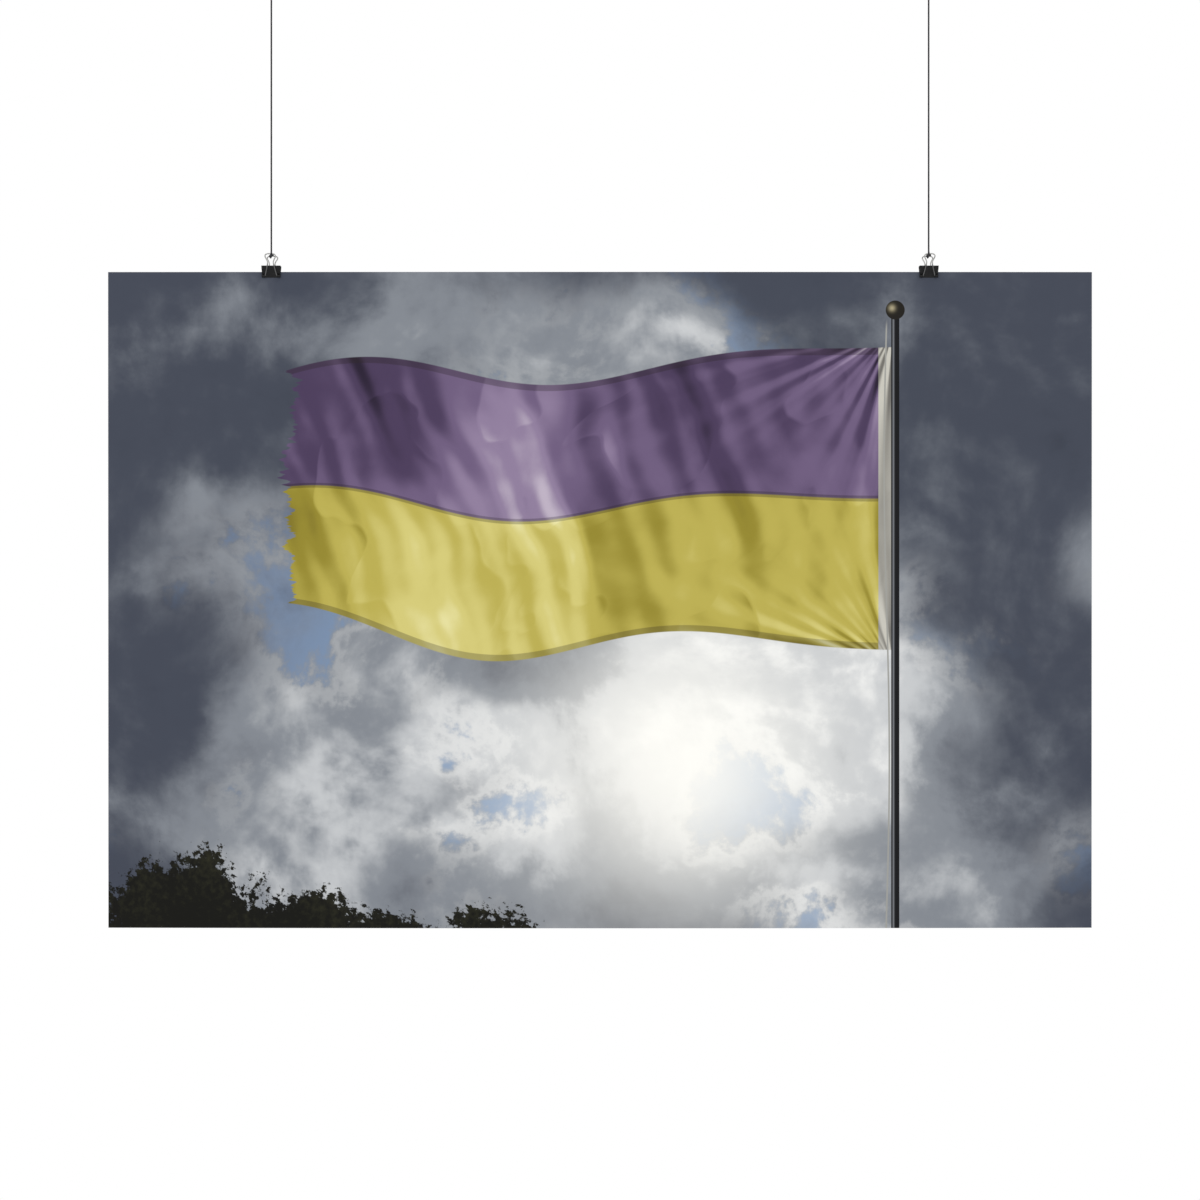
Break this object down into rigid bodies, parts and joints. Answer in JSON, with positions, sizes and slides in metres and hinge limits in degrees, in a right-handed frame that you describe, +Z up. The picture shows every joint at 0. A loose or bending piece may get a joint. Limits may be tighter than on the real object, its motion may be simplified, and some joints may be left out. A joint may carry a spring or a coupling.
{
  "type": "hanging poster print with clips and cords",
  "caption": "Landscape picture print on paper, held along its top edge by small spring clips and hung on thin cords that end in tied loops.",
  "frame": {"origin": "halfway between the two cords' top loops, at the height where the insides of the loops bear on what holds them up", "axes": "+X along the sheet's width, +Y towards its back, +Z up; the printed side faces -Y"},
  "size_m": [0.9144, 0.0234, 0.8961],
  "materials": {
    "print": "satin",
    "clip": "satin",
    "wire": "satin",
    "cord": "matte"
  },
  "bodies": {
    "root": {"print_sheet": "print", "clip_body_left": "clip", "clip_body_right": "clip", "handle_front_left": "wire", "handle_back_left": "wire", "handle_front_right": "wire", "handle_back_right": "wire", "tie_left": "cord", "tie_right": "cord", "cord_left": "cord", "cord_right": "cord", "loop_left": "cord", "loop_right": "cord"}
  },
  "joints": []
}
